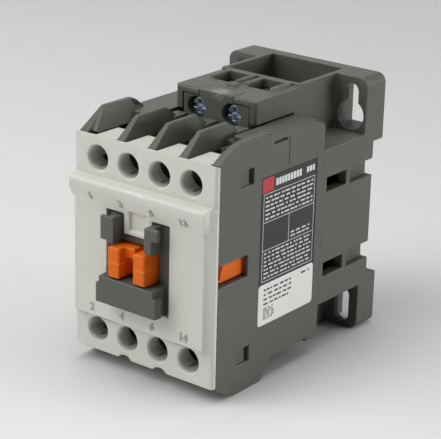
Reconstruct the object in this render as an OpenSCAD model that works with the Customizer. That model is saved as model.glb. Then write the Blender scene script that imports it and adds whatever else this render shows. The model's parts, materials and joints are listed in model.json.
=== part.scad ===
// Small contactor with three main poles and one auxiliary pole, in millimetres, +Z up.
// The front faces -Y, the mounting plane faces +Y, and the middle of the width is X = 0.

/* [Overall] */
// Overall width
body_w = 45; // [40:0.5:54]
// Height of the front cover
cover_h = 56.5; // [52:0.5:68]
// Depth of the main frame behind the cover face
frame_d = 43.2; // [41:0.1:52]
// Depth of the base frame behind the main frame
base_d = 26.8; // [25.5:0.1:33]
// Height of the barriers above and below the cover
fin_over = 4.35; // [3:0.05:6]

/* [Front cover] */
// Thickness of the cover's front wall
slab_t = 2; // [1.6:0.1:2.2]
// How far the centre panel stands in front of the cover face
panel_out = 2; // [1:0.1:3]
// How far the ridge stands in front of the cover face
ridge_out = 3.3; // [2.2:0.1:4]
// Half width of the opening in the cover
open_w = 9.95; // [9.5:0.05:12]
// Half width of the tongue that hangs into the opening
tongue_w = 4.5; // [3.6:0.1:4.5]
// Radius of a screwdriver well
well_r = 3.1; // [2.9:0.05:3.2]
// Depth of a screwdriver well's sleeve at its upper edge
well_d = 3; // [2.6:0.1:3.6]
// Depth of a screwdriver well's sleeve at its lower edge
well_low = 6.2; // [5:0.1:7.4]
// Length of the roof tabs over the wells
roof_d = 11.2; // [8:0.1:11.2]

/* [Walls] */
// Thickness of the main frame's side walls
wall_t = 2.6; // [2:0.1:3.2]
// Thickness of the barriers between poles
fin_t = 1.6; // [1.2:0.1:1.9]
// Thickness of the base frame's side walls
base_t = 3; // [2.4:0.1:3.6]
// Wall left outside the carrier's side guides
guide_t = 1.3; // [1:0.1:1.6]
// Thickness of the ears' front plates
ear_plate = 2.4; // [2:0.1:3.2]

/* [Accessory seat] */
// How far the accessory foot stands in front of the cover face
foot_out = 6.5; // [5:0.1:8]
// Thickness of the foot's flange
flange_t = 2.6; // [2:0.1:3]
// Thickness of the hooks' flanges
hook_t = 1.2; // [1:0.1:1.8]
// Height of the left hook's flange
hook_left = 6.1; // [5:0.1:6.4]
// Height of the right hook's flange
hook_right = 3; // [2.4:0.1:6]
// Inner face of a hook
hook_in = 4.9; // [4.9:0.1:5.4]
// Outer face of a hook's stem
hook_out = 7.1; // [6.4:0.1:7.6]

/* [Terminals] */
// Space between a terminal strip and the barriers
strip_gap = 0.6; // [0.5:0.05:1.1]
// Thickness of a terminal strip
strip_t = 1.5; // [1:0.1:2]
// Radius of a terminal screw's shank
screw_r = 1.75; // [1.5:0.05:2]
// Radius of a terminal screw's head
head_r = 2.7; // [2.4:0.05:2.7]
// Height of a terminal screw's head
head_t = 2.4; // [1.8:0.1:3]
// Depth of the terminal screws' heads behind the cover face
head_y = 9.5; // [8.5:0.1:11]
// How far a clamp washer stays inside the strip's edge
washer_in = 0.4; // [0.3:0.05:0.7]
// Thickness of a clamp washer
washer_t = 1.3; // [0.8:0.1:1.6]

/* [Contacts] */
// Radius of a contact tip
tip_r = 1.8; // [1.4:0.1:2.2]
// Thickness of a contact tip
tip_t = 0.9; // [0.6:0.1:1.2]
// Width of a moving bridge
bridge_w = 5; // [4:0.1:5.4]
// Thickness of a moving bridge
bridge_t = 1.4; // [1:0.1:1.6]
// Distance of the contact tips from the middle
contact_z = 10.4; // [10:0.1:12]

/* [Carrier] */
// Inner face of a front prong
prong_in = 2.2; // [1.6:0.1:3]
// Outer face of a front prong
prong_out = 5.8; // [4.5:0.1:6.2]
// Half height of the carrier's bar
bar_h = 4.4; // [4:0.1:5]
// Half width of the carrier's stem
stem_w = 5; // [4:0.1:6]
// Half height of the carrier's stem
stem_h = 3; // [2.4:0.1:4]

/* [Magnet] */
// Half height of the iron stack
stack = 6; // [5:0.1:6.6]
// Half width of the middle leg
mid_leg = 5.4; // [4.6:0.1:5.6]
// Inner face of an outer leg
leg_in = 13.4; // [13.2:0.1:14.4]
// Outer face of an outer leg
leg_out = 17.6; // [16.4:0.1:17.6]
// Depth of the yokes
yoke = 4.2; // [3.6:0.1:4.4]
// Half height of the bobbin's flanges
bob_h = 14.4; // [13.8:0.1:15]

/* [Coil box] */
// Half width of the coil box
box_w = 12.7; // [12.2:0.1:13]
// Half width of the coil head
head_w = 10.4; // [9.8:0.1:10.6]
// Half the spacing of the coil screws
x_coil = 5.5; // [5:0.1:6]
// How far the coil screws lie to the left of the middle
coil_left = 0.7; // [0:0.1:0.8]
// Width of a coil wire hole
wire_w = 6.7; // [5:0.1:7]

/* [Motion] */
// Travel of the contact carrier
carrier_travel = 3.2; // [2:0.1:3.9]
// Travel of the rail clip
clip_travel = 3; // [2:0.1:3]

/* [Mounting] */
// Clear height of the rail channel
rail_gap = 37.3; // [36:0.1:45]
// Spacing of the mounting holes across the width
hole_pitch = 35; // [34:0.1:36]
// Width of the mounting slots
slot_w = 4.3; // [3.8:0.1:5.2]
// Radius of a keyhole's round end
key_r = 4; // [3.5:0.1:4.2]

/* [Clearances] */
// Space beside moving pieces
gap = 0.4; // [0.3:0.05:0.5]
// Space beside fixed pieces
seat = 0.1; // [0.05:0.05:0.2]

/* [Hidden] */
$fn = 48;
dark = [0.36, 0.37, 0.34];
light = [0.79, 0.79, 0.76];
orange = [0.88, 0.44, 0.13];
zinc = [0.62, 0.68, 0.78];
brass = [0.78, 0.62, 0.32];
silver = [0.86, 0.86, 0.84];
iron = [0.45, 0.46, 0.48];
copper = [0.72, 0.42, 0.26];
rubber = [0.1, 0.1, 0.1];
paper = [0.9, 0.9, 0.89];

// Main planes
hw = body_w / 2;
in_w = hw - wall_t;
pole = (in_w - 0.3) / 2;
y_rear = frame_d + base_d;
y_mid = (y_rear - foot_out) / 2;
z0 = fin_over;
z1 = fin_over + cover_h;
z_mid = (z0 + z1) / 2;
z_fin = 2 * z_mid;
z_well = z1 - 5.6;

// Roof tabs lie below the cover's top edge, and its top slopes down to them
roof_in = 0.85;
slope_y = 3;

// Opening, tongue and accessory seat in the cover's middle
open_z0 = z_mid - 12;
open_z1 = z_mid + 11.25;
tongue_z = z_mid + 6.15;
prong_z0 = z_mid - 4.1;
prong_z1 = z_mid + 3.7;
plinth_y = -panel_out + 0.8;

// Terminal stack, measured back from the cover face
y_washer = head_y + head_t + seat / 2;
y_strip = y_washer + washer_t + seat + 0.05;
y_back = y_strip + strip_t + 3.2;
back_t = 2;
strip_top = z1 - 2.6;
strip_w = pole - fin_t - 2 * strip_gap;
washer_w = strip_w - 2 * washer_in;

// Main frame
frame_y = 1.2;
wall_y = slab_t + 0.3;
wall_in = 2.1;
frame_top = z1 + 1.75;
frame_low = z0 + 1.15;
top_low = frame_top - 1.7;
skin = 2;
fin_y = y_back + 0.8;
win_y = 12.8;
snap_w = 3.5;
snap_d = 1.1;

// Carrier
bar_y0 = wall_y + 0.3;
y_bridge = y_strip - 2 * tip_t - carrier_travel - 0.1 - bridge_t;
bar_y1 = y_bridge + bridge_t + 1.5;
tab_low = 1.9;
tab_high = 2.8;

// Magnet
y_bob = frame_d + 0.8;
bob_t = 1.3;
bob_d = 12.4;
y_yoke = y_bob + bob_d + 0.3;
y_gap = y_bob + 3.9;
arm_tip = y_gap - carrier_travel - 0.1;
arm_yoke = arm_tip - yoke - gap - 4;
y_flange = arm_yoke - seat;
lug_z = stack + gap + 1;
key_w = 3;
key_t = 1.4;
key_y = arm_yoke + 1.4;
spring_z = 11.9;
spring_r = 1.7;

// Base frame
rail_y = y_rear - 4.3;
cav_y = rail_y - 3.7;
rail_mid = z_mid + 1.05;
rail_z0 = rail_mid - rail_gap / 2;
rail_z1 = rail_mid + rail_gap / 2;
shelf_z = rail_z1 + 2.7;
low_z = rail_z0 - 2;
key_z = shelf_z + key_r + 0.45;
plate_z = z1 + 8.95;
ear_t = 8.5;
box_z = plate_z - 0.8;
cav_w = hw - base_t;
cav_z0 = rail_z0 + 1.2;
cav_z1 = rail_z1 - 0.5;
latch_z = [cav_z0 + 1.4, cav_z1 - 1.4];
latch_h = 1.3;
latch_y = frame_d - 10;
jaw_w = 6.5;
ledge_z = 4.6;
slot_z0 = 1.6 + slot_w / 2;
slot_z1 = plate_z - 1.9 - slot_w / 2;

// Coil box, measured forward from the back of the main frame
y_box = frame_d - 15.9;
y_tongue = y_box + 5.7;
y_nut = frame_d - 7.4;
y_clamp = y_nut + 1.8;
wire_y = frame_d - 2.2;
y_pocket = y_bob + 2.6;
z_coil = z1 + 3.2;
screw_x = [-x_coil - coil_left, x_coil - coil_left];
wire_x = 5.55;
box_edge = 0.7;
y_slot = y_box + 4.5;
coil_z0 = top_low + seat;
nut_z = coil_z0 + 0.7;
coil_z1 = box_z - 1.9;

// Helpers
module place() {
  translate([0, -y_mid, 0]) children();
}

module box(x0, x1, y0, y1, z0, z1) {
  translate([x0, y0, z0]) cube([x1 - x0, y1 - y0, z1 - z0]);
}

module ycyl(x, z, y0, y1, r) {
  translate([x, y1, z]) rotate([90, 0, 0]) cylinder(h = y1 - y0, r = r);
}

module along_x(x0, x1) {
  translate([x0, 0, 0]) rotate([90, 0, 90]) linear_extrude(x1 - x0) children();
}

module along_y(y0, y1) {
  translate([0, y1, 0]) rotate([90, 0, 0]) linear_extrude(y1 - y0) children();
}

module along_z(z0, z1) {
  translate([0, 0, z0]) linear_extrude(z1 - z0) children();
}

module flip_z() {
  translate([0, 0, 2 * z_mid]) mirror([0, 0, 1]) children();
}

module both_rows() {
  children();
  flip_z() children();
}

module both_sides() {
  children();
  mirror([1, 0, 0]) children();
}

module poles() {
  for (i = [0 : 3]) {
    translate([(i - 1.5) * pole, 0, 0]) children();
  }
}

module slot2d(x, za, zb, w) {
  translate([x, za]) circle(w / 2);
  translate([x, zb]) circle(w / 2);
  translate([x - w / 2, za]) square([w, zb - za]);
}

// One round wire wound along +Z from the origin
module spring(r, wire, turns, len) {
  sides = 6;
  steps = 8 * turns;
  rise = len - 2 * wire;
  pts = [
    for (i = [0 : steps], k = [0 : sides - 1])
      let (a = 45 * i, b = 60 * k, q = r + wire * cos(b))
        [q * cos(a), q * sin(a), wire + rise * i / steps + wire * sin(b)]
  ];
  tube = [
    for (i = [0 : steps - 1], k = [0 : sides - 1], t = [0, 1])
      let (a = sides * i + k, b = sides * i + (k + 1) % sides)
        t == 0 ? [a, a + sides, b] : [b, a + sides, b + sides]
  ];
  ends = [
    for (k = [1 : sides - 2], t = [0, 1])
      let (e = sides * steps)
        t == 0 ? [0, k, k + 1] : [e, e + k + 1, e + k]
  ];
  polyhedron(pts, concat(tube, ends));
}

// Front cover
module cover_slab() {
  edge = 1;
  along_z(z0, z1) {
    translate([seat - in_w, 0]) square([2 * (in_w - seat), slab_t]);
    translate([edge - hw, 0]) square([body_w - 2 * edge, frame_y - seat]);
    for (s = [-1, 1]) {
      intersection() {
        translate([s * (hw - edge), edge]) circle(edge);
        translate([-hw, 0]) square([body_w, frame_y - seat]);
      }
    }
  }
}

module cover_panel() {
  side = hw - 1.9;
  za = z0 + 9;
  zb = z1 - 10.4;
  intersection() {
    along_z(za, zb)
      polygon([[-hw, 0.4], [-side, -panel_out], [side, -panel_out], [hw, 0.4], [hw, 1], [-hw, 1]]);
    along_x(-hw, hw)
      polygon([[1, za], [0, za], [-panel_out, za + 1.4], [-panel_out, zb], [1, zb]]);
  }
  along_x(1.1 - hw, hw - 1.1)
    polygon([
      [1, zb + 0.3], [0, zb + 0.3], [0.4 - ridge_out, zb - 0.1], [-ridge_out, zb - 0.6],
      [-ridge_out, zb - 2.9], [-panel_out, zb - 5.6], [1, zb - 5.6]
    ]);
}

module cover_rows() {
  tab_w = well_r + 0.15;
  poles() {
    box(-tab_w, tab_w, 1, roof_d, z1 - 2.2, z1 - roof_in);
    box(-tab_w, tab_w, 1, slope_y, z1 - 2.2, z1);
  }
  both_sides() {
    box(in_w - 1.7, in_w - gap, 1.5, y_strip - gap, z_well - 1.4, z_well + snap_w - 1.4);
    box(in_w - 0.8, in_w + snap_d - gap, 9.5, y_strip - gap, z_well - 1.4, z_well + snap_w - 1.4);
  }
}

// Every well has its own middle as the origin, and its sleeve ends on a slant, deepest below.
module wells() {
  for (z = [z_well, 2 * z_mid - z_well]) {
    translate([0, 0, z]) poles() children();
  }
}

module well_sleeve() {
  r = well_r + 0.65;
  intersection() {
    ycyl(0, 0, 0.5, well_low, r);
    along_x(-r, r) polygon([[0, -r], [well_low, -r], [well_d, r], [0, r]]);
  }
}

module well_bore() {
  ycyl(0, 0, -1, well_low + 1, well_r);
  translate([0, 1.2, 0]) rotate([90, 0, 0]) cylinder(h = 1.3, r1 = well_r, r2 = well_r + 0.25);
  both_sides() box(1.15, 1.95, slab_t + 0.4, well_low - 1, -well_r - 1, 0.4 - well_r);
}

module cover_slope() {
  along_x(-hw - 1, hw + 1) polygon([[0.3, z1], [slope_y, z1 - roof_in], [slope_y, z1 + 1], [0.3, z1 + 1]]);
}

module cover_opening() {
  difference() {
    box(-open_w, open_w, -9, 3, open_z0, open_z1);
    box(-tongue_w, tongue_w, -9, 1.4, tongue_z, z1);
  }
  box(-2.75, 2.75, -9, 0.9 - panel_out, tongue_z + 1.1, tongue_z + 6);
}

module front_cover() {
  color(light) place() {
    difference() {
      union() {
        cover_slab();
        cover_panel();
        both_rows() cover_rows();
        wells() well_sleeve();
      }
      both_rows() cover_slope();
      wells() well_bore();
      cover_opening();
      both_sides() ycyl(5.7, z0 - 2.2, -1, 3, 3.1);
    }
  }
}

// Main frame
module corner_cut() {
  r = 12.5;
  difference() {
    translate([-1, -1]) square([11.5, r + 1]);
    translate([10.5, r]) circle(r);
  }
}

module wall_outline(top) {
  round = 1.6;
  foot_y = fin_y + 0.1;
  foot = [[frame_y, 0], [foot_y, 0], [foot_y + 4.4, frame_low], [frame_d, frame_low], [frame_d, frame_top]];
  difference() {
    polygon(concat(foot, top));
    corner_cut();
    translate([frame_d - round, frame_top - round]) difference() {
      square([3, 3]);
      circle(round);
    }
  }
}

module right_wall() {
  along_x(in_w, hw) difference() {
    wall_outline([[fin_y, frame_top], [fin_y, z_fin], [frame_y, z_fin]]);
    translate([0, z_fin]) mirror([0, 1]) corner_cut();
  }
}

module left_wall() {
  along_x(-hw, -in_w)
    wall_outline([[fin_y + 4.3, frame_top], [fin_y + 0.9, z_fin], [10, z_fin], [frame_y, z1 - 1]]);
}

module left_wedge() {
  low = z1 - 0.7;
  difference() {
    intersection() {
      along_x(-hw, 0) fin_outline();
      along_y(wall_y, fin_y + 3)
        polygon([[0.5 - hw, low], [1.8 - in_w, low], [1.6 - hw, z_fin], [0.5 - hw, z_fin]]);
    }
    box(-in_w - 0.3, 3 - in_w, wall_y - 1, wall_y + 1.4, low - 1, low + 1.6);
  }
}

module fin_outline() {
  polygon([
    [wall_y, z_mid + 6], [wall_y, z1 - 1.3], [9, z_fin], [fin_y + 0.3, z_fin],
    [fin_y + 3.8, frame_top], [fin_y + 3.8, z_mid + 6]
  ]);
}

module fin_section() {
  t = fin_t / 2;
  polygon([
    [-t, z_mid + 6], [t, z_mid + 6], [t, z1 - 1.8], [t + 0.4, z1 - 1.4], [t - 0.2, z_fin],
    [0.2 - t, z_fin], [-t - 0.4, z1 - 1.4], [-t, z1 - 1.8]
  ]);
}

module frame_row() {
  for (i = [-1, 0, 1]) {
    translate([i * pole, 0, 0]) intersection() {
      along_x(-fin_t, fin_t) fin_outline();
      along_y(0, fin_y + 5) fin_section();
    }
  }
  box(-in_w - 0.1, in_w + 0.1, wall_y, wall_y + wall_in, z_mid + 5.2, z_well - 7);
  poles() for (s = [-1, 1]) {
    x = s * (strip_w / 2 - 0.7);
    box(x - 0.6, x + 0.6, y_strip + strip_t + seat / 2, y_back + 0.1, z_mid + 8, z1 - 1);
  }
}

module frame_hook(flange_h) {
  y = 1.1 - foot_out;
  za = prong_z1 + gap;
  zb = open_z1 - 0.5;
  box(hook_in, hook_out, y, 1.9, za, zb);
  box(hook_in, hook_out, 1.8, wall_y + 0.1, z_mid + 5.2, zb);
  box(hook_in, hook_out + 1.95, y, y + hook_t, zb - flange_h, zb);
}

module frame_plinth() {
  difference() {
    box(gap - open_w, open_w - gap, plinth_y, wall_y + 0.1, open_z0 + 0.5, open_z1 - 0.6);
    box(-prong_out - 0.5, prong_out + 0.5, -3, 3, prong_z0 - gap, prong_z1 + 0.5);
    box(-open_w, open_w, wall_y - 0.1, 3, z_mid - bar_h - 0.6, z_mid + bar_h + 0.6);
    box(-tongue_w - gap, tongue_w + gap, -3, 3, tongue_z - gap, z1);
  }
}

module frame_foot() {
  za = open_z0 + 0.45;
  zb = prong_z0 - gap;
  box(-8.6, 8.6, -foot_out, wall_y + 0.1, za, zb);
  box(-9.6, 9.6, -foot_out, flange_t - foot_out, za, zb - 1.9);
}

module frame_blocks() {
  for (i = [-1, 0, 1]) {
    box(i * pole - 1.7, i * pole + 1.7, fin_y + 2.6, y_box - 0.8, top_low - 0.1, frame_top - 0.2);
  }
}

module frame_cuts() {
  box(-15.6, -13.6, fin_y + 5.3, fin_y + 6.3, frame_top - 0.8, frame_top + 1);
  box(16.2, 19.4, fin_y + 6, fin_y + 7, frame_top - 0.8, frame_top + 1);
  both_rows() both_sides() {
    along_y(0, fin_y + 1)
      polygon([[in_w - 1, z1 - 0.3], [in_w, z1 - 0.3], [hw - 1.4, z_fin + 0.1], [in_w - 1, z_fin + 0.1]]);
    box(in_w - 1, in_w + snap_d, 9.2, y_strip, z_well - 1.7, z_well + snap_w - 1.1);
    box(hw - 0.9, hw + 1, 9.2, y_strip + 0.9, z_well - 1.7, z_well + snap_w - 1.1);
    box(in_w - 1, hw + 1, y_strip + 0.1, y_strip + 0.9, z_well - 1.7, z_well + snap_w - 1.1);
  }
  both_sides() {
    box(in_w - 1, hw + 1, 0, win_y, z_mid - tab_low - gap, z_mid + tab_high + gap);
    box(in_w - 1, hw - guide_t, 0, y_back, z_mid - tab_low - gap, z_mid + tab_high + gap);
    box(hw - 1.1, hw + 1, fin_y + 2.9, fin_y + 8.6, frame_top - 1, frame_top - 0.3);
    box(hw - 0.15, hw + 1, fin_y + 9.2, fin_y + 9.5, frame_top - 8, frame_top - 0.3);
    for (z = latch_z) {
      box(in_w - 1, in_w + 1.3, latch_y - 0.5, latch_y + 3.5, z - latch_h - 0.5, z + latch_h + 0.5);
    }
  }
  box(hw - 0.15, hw + 1, frame_d - 25.8, frame_d - 2.8, z0 + 10.7, z1 - 6.8);
  along_y(y_back - 1, y_back + back_t + 1) translate([0, z_mid])
    square([2 * (stem_w + gap), 2 * (stem_h + gap)], center = true);
}

module main_frame() {
  color(dark) place() {
    difference() {
      union() {
        right_wall();
        left_wall();
        both_rows() frame_row();
        frame_hook(hook_right);
        mirror([1, 0, 0]) frame_hook(hook_left);
        frame_foot();
        frame_plinth();
        box(-in_w - 0.1, in_w + 0.1, y_back, y_back + back_t, frame_low, top_low);
        box(-in_w - 0.1, in_w + 0.1, y_back, frame_d, frame_low, frame_low + skin);
        difference() {
          box(-in_w - 0.1, in_w + 0.1, y_back, frame_d, top_low - skin, frame_top);
          box(-box_w - 0.3, box_w + 0.3, y_back - 1, y_slot, top_low, frame_top + 1);
          box(-box_w - seat / 2, box_w + seat / 2, y_back, frame_d + 1, top_low, frame_top + 1);
        }
        both_sides() box(hw - 6, hw - 0.2, frame_d - 4.5, frame_d, z0 - 0.1, frame_low + 0.5);
        frame_blocks();
      }
      frame_cuts();
    }
    left_wedge();
  }
}

// Base frame
module ear_outline(za, zb) {
  r = 2.5;
  translate([r - hw, za]) square([body_w - 2 * r, zb - za]);
  translate([-hw, za]) square([body_w, zb - za - r]);
  for (s = [-1, 1]) {
    translate([s * (hw - r), zb - r]) circle(r);
  }
}

module house_edge() {
  c = 0.45;
  along_x(-box_w - 1, box_w + 1)
    polygon([[y_box - 1, box_z - c - 1], [y_box + c + 1, box_z + 1], [y_box - 1, box_z + 1]]);
}

module coil_house() {
  side = head_w + 2 * seat;
  front = box_w - box_edge;
  difference() {
    along_z(top_low - 4, box_z) {
      translate([-front, y_box]) square([2 * front, 2]);
      translate([-box_w, y_box + box_edge]) square([2 * box_w, y_rear - seat - y_box - box_edge]);
      for (s = [-1, 1]) {
        translate([s * front, y_box + box_edge]) circle(box_edge);
      }
    }
    house_edge();
    box(-box_w - 1, box_w + 1, y_box - 1, frame_d, top_low - 5, frame_top + 0.3);
    box(-side, side, y_box - 1, y_bob + 1.5, top_low - 5, coil_z1 + 2 * seat);
    box(-5.4, 5.4, y_box - 1, y_tongue + 2 * seat, coil_z1, box_z + 1);
  }
  both_sides() box(1, 10.2, wire_y - 3.4, wire_y + 4.6, box_z - 0.1, plate_z);
  box(-1.9, 0.7, y_tongue + 0.7, y_tongue + 3.4, box_z - 0.1, plate_z);
}

module base_shell() {
  box(-hw, hw, frame_d, rail_y, low_z, shelf_z);
  box(-box_w, box_w, frame_d, y_rear - seat, shelf_z - 1, plate_z - 3);
  coil_house();
  box(-box_w, box_w, y_pocket - 1, y_rear - seat, shelf_z - 1, plate_z);
  along_y(y_rear - ear_t, y_rear) ear_outline(rail_z1, plate_z);
  along_y(y_rear - ear_t + 0.5, y_rear) translate([0, rail_z0]) mirror([0, 1]) ear_outline(0, rail_z0);
  box(-box_w, box_w, frame_d + 0.2, y_rear - ear_t + 1.5, 0, low_z + 0.1);
  both_sides() box(8, 15, rail_y + 1.5, y_rear, rail_z1 - 2.3, rail_z1 + 0.5);
}

module base_pockets() {
  arm = head_w + 2 * seat;
  box(-cav_w, cav_w, frame_d - 1, cav_y, cav_z0, cav_z1);
  box(-arm, arm, y_bob - gap, y_bob + 1.5, z_mid, coil_z1 + seat);
  box(-arm, arm, frame_d - 0.1, y_bob + 1.5, coil_z0 - 2 * seat, coil_z1 + seat);
  box(1.3 - box_w, box_w - 1.3, y_pocket, y_rear - 3.5, shelf_z + 1.5, plate_z + 1);
  box(1.8 - box_w, box_w - 1.8, frame_d + 2, y_rear - ear_t - 1.3, -1, low_z - 1.7);
  both_sides() {
    box(box_w, hw - 1.2, y_rear - ear_t + ear_plate, y_rear + 1, shelf_z + 0.4, plate_z - 1.6);
    box(box_w, hw - 1.2, y_rear - ear_t + ear_plate, y_rear + 1, -1, low_z - 1);
    box(wire_x - wire_w / 2, wire_x + wire_w / 2, wire_y - 3.4, wire_y + 3.4, coil_z1 - 0.1, box_z + 2);
    for (z = [rail_z1 - 6.8, rail_z0 + 7.4]) {
      box(cav_w - 0.5, hw + 1, frame_d + 1.8, frame_d + 10.5, z - 1.9, z + 1.9);
      box(hw - 2.2, hw + 1, frame_d + 12.4, y_rear + 1, z - 2.2, z + 2.2);
    }
  }
}

module base_holes() {
  along_y(y_rear - ear_t - 0.5, y_rear + 1) both_sides_2d() {
    slot2d(hole_pitch / 2, key_z, slot_z1, slot_w);
    translate([hole_pitch / 2, key_z]) circle(key_r);
    slot2d(hole_pitch / 2, slot_z0, low_z - 4, slot_w);
  }
}

module both_sides_2d() {
  children();
  mirror([1, 0]) children();
}

module base_latches() {
  both_sides() for (z = latch_z) {
    box(cav_w - 2, cav_w - gap, latch_y, frame_d + 4, z - latch_h, z + latch_h);
    box(cav_w - 0.5, in_w + 0.9, latch_y, latch_y + 3, z - latch_h, z + latch_h);
    box(cav_w - 2, cav_w + 0.5, frame_d + 0.6, frame_d + 1.6, z - latch_h, z + latch_h);
  }
}

module base_frame() {
  color(dark) place() {
    difference() {
      base_shell();
      base_pockets();
      base_holes();
      box(-jaw_w - gap, jaw_w + gap, rail_y + 0.2, y_rear + 1, -1, rail_z0 + 1);
    }
    box(-2, 2, rail_y - 0.5, y_rear - 1.2, ledge_z, ledge_z + 1);
    both_sides() box(jaw_w - 0.7, jaw_w + 0.6, y_rear - 0.5, y_rear, 2, rail_z0 - 1.4);
    base_latches();
  }
}

module rating_label() {
  color(paper) place() box(hw - 0.14, hw - 0.02, frame_d - 25.6, frame_d - 3, z0 + 10.9, z1 - 7);
}

// Contacts
module terminal_row() {
  poles() difference() {
    box(-strip_w / 2, strip_w / 2, y_strip, y_strip + strip_t, z_mid + contact_z - 2.4, strip_top);
    ycyl(0, z_well, y_strip - 1, y_strip + strip_t + 1, screw_r + 0.3);
  }
}

module line_terminals() {
  color(brass) place() terminal_row();
}

module load_terminals() {
  color(brass) place() flip_z() terminal_row();
}

module fixed_tips() {
  color(silver) place() both_rows() poles()
    ycyl(0, z_mid + contact_z, y_strip - tip_t, y_strip - 0.02, tip_r);
}

module moving_bridges() {
  half = contact_z + tip_r + 0.5;
  color(copper) place() poles()
    box(-bridge_w / 2, bridge_w / 2, y_bridge, y_bridge + bridge_t, z_mid - half, z_mid + half);
}

module moving_tips() {
  y = y_bridge + bridge_t;
  color(silver) place() both_rows() poles()
    ycyl(0, z_mid + contact_z, y + 0.02, y + tip_t, tip_r);
}

module contact_springs() {
  color(iron) place() poles()
    translate([0, y_bridge - 0.05, z_mid]) rotate([90, 0, 0])
      spring(spring_r, 0.22, 3, y_bridge - bar_y0 - 1.2);
}

// Moving carrier and magnet
module key_slot() {
  box(-key_w - seat, key_w + seat, key_y - seat, key_y + key_t + seat, z_mid - 9, z_mid + 9);
}

module carrier_front() {
  box(-prong_out, prong_out, -1.5, bar_y0 + 0.1, prong_z0, prong_z1);
  both_sides() box(prong_in, prong_out, 0.2 - foot_out, -1.4, prong_z0, prong_z1);
  box(-prong_in - 0.1, prong_in + 0.1, -3.6, -1.4, z_mid + 0.8, prong_z1);
}

module carrier_sides() {
  tab_x = hw - guide_t - gap;
  tab_y = y_back - carrier_travel - gap;
  both_sides() difference() {
    box(in_w - 1.8, tab_x, bar_y0 - gap, tab_y, z_mid - tab_low, z_mid + tab_high);
    box(tab_x - 2.4, tab_x + 1, bar_y0 - 0.6, 4.4, z_mid - 1.2, z_mid + tab_high + 1);
  }
}

module carrier_rear() {
  flange_z = 14.2;
  box(-stem_w, stem_w, bar_y1 - 0.1, y_flange - 2, z_mid - stem_h, z_mid + stem_h);
  box(-stem_w - 2, stem_w + 2, y_flange - 2.4, y_flange, z_mid - flange_z, z_mid + flange_z);
  for (s = [-1, 1]) {
    z = z_mid + s * lug_z;
    box(-4.4, 4.4, y_flange - 0.1, arm_yoke + yoke, z - 1, z + 1);
  }
}

module contact_carrier() {
  pocket = bridge_w / 2 + 0.3;
  color(orange) place() {
    difference() {
      union() {
        box(1.7 - in_w, in_w - 1.7, bar_y0, bar_y1, z_mid - bar_h, z_mid + bar_h);
        carrier_sides();
        carrier_front();
        carrier_rear();
      }
      box(0.5, prong_in, -4, -0.4, prong_z1 - 2, prong_z1 + 1);
      poles() box(-pocket, pocket, bar_y0 + 1.1, y_bridge + bridge_t + seat, z_mid - 9, z_mid + 9);
      key_slot();
    }
  }
}

module e_core(ya, yb, yoke_y) {
  box(-leg_out, leg_out, yoke_y, yoke_y + yoke, z_mid - stack, z_mid + stack);
  box(-mid_leg, mid_leg, ya, yb, z_mid - stack, z_mid + stack);
  both_sides() box(leg_in, leg_out, ya, yb, z_mid - stack, z_mid + stack);
}

module armature() {
  color(iron) place() difference() {
    e_core(arm_yoke, arm_tip, arm_yoke);
    key_slot();
  }
}

module armature_key() {
  color(zinc) place() box(-key_w, key_w, key_y, key_y + key_t, z_mid - 8.6, z_mid + 8.6);
}

module fixed_core() {
  color(iron) place() difference() {
    e_core(y_gap, y_yoke + yoke, y_yoke);
    both_sides() for (s = [-1, 1]) {
      z = z_mid + s * (stack - 1.9);
      box(leg_in - 1, leg_out + 1, y_gap - 1, y_gap + 1.5, z - 0.7, z + 0.7);
    }
  }
}

module shading_rings() {
  out = stack - 1.3;
  color(copper) place() both_sides() difference() {
    box(leg_in - 0.9, leg_out + 0.9, y_gap + 0.2, y_gap + 1.4, z_mid - out, z_mid + out);
    box(leg_in - seat, leg_out + seat, y_gap - 1, y_gap + 3, z_mid - out + 1.2, z_mid + out - 1.2);
  }
}

module core_cushion() {
  color(rubber) place() box(-16, 16, y_yoke + yoke + 0.05, cav_y - 0.05, z_mid - 8, z_mid + 8);
}

module coil_bobbin() {
  flange_w = leg_in - 1;
  bore_x = mid_leg + gap;
  bore_z = stack + gap;
  color(dark) place() difference() {
    union() {
      for (y = [y_bob, y_bob + bob_d - bob_t]) {
        box(-flange_w, flange_w, y, y + bob_t, z_mid - bob_h, z_mid + bob_h);
      }
      box(-bore_x - 1.2, bore_x + 1.2, y_bob, y_bob + bob_d, z_mid - bore_z - 1.2, z_mid + bore_z + 1.2);
      box(-9, 9, y_bob, y_bob + bob_t, z_mid, coil_z1);
      box(-head_w, head_w, y_box + 2 * seat, y_bob + bob_t, coil_z0, coil_z1);
      box(-5.2, 5.2, y_box + 2 * seat, y_tongue, coil_z1 - 0.1, box_z);
    }
    box(-bore_x, bore_x, y_bob - 9, y_rear, z_mid - bore_z, z_mid + bore_z);
    for (x = screw_x) {
      ycyl(x, z_coil, y_box - 1, y_nut + 2, head_r + 0.2);
      box(x - 3.4, x + 3.4, y_nut - 0.2, y_bob - seat / 2, nut_z - seat, coil_z1 + 1);
    }
    both_sides() box(wire_x - 3.4, wire_x + 3.4, y_nut - 0.2, y_bob - seat / 2, nut_z - seat, coil_z1 + 1);
    house_edge();
  }
}

module coil_winding() {
  inner_x = 2 * (mid_leg + gap + 1.3);
  inner_z = 2 * (stack + gap + 1.3);
  r = 2.8;
  color(copper) place() along_y(y_bob + bob_t + seat, y_bob + bob_d - bob_t - seat) translate([0, z_mid]) {
    difference() {
      union() {
        square([22.6, 21], center = true);
        square([17, 26.6], center = true);
        for (a = [-1, 1], b = [-1, 1]) {
          translate([a * 8.5, b * 10.5]) circle(r);
        }
      }
      square([inner_x, inner_z], center = true);
    }
  }
}

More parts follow.
